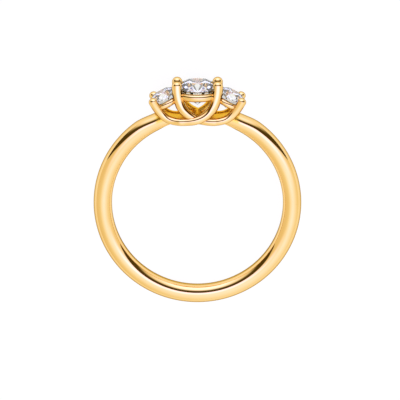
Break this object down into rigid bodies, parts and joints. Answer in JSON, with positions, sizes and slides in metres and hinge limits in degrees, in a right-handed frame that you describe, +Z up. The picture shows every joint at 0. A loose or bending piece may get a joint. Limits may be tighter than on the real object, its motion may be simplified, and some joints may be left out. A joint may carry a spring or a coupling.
{
  "type": "three stone ring",
  "caption": "Finger ring: a round gold band with a woven trellis head that holds round brilliant stones in a row.",
  "frame": {"origin": "on the floor under the middle of the ring, which lies on its side as it rests by itself", "axes": "+Z up, +Y towards the head with the stones, +X across the band; the finger hole runs nearly along Z, tipped 3.7 degrees because the ring rests on the band's far edge and on the head"},
  "size_m": [0.0208, 0.0232, 0.0045],
  "materials": {
    "gold": "polished",
    "diamond": "polished"
  },
  "bodies": {
    "root": {"mounting": "gold", "center_stone": "diamond", "side_stone_left": "diamond", "side_stone_right": "diamond"}
  },
  "joints": []
}
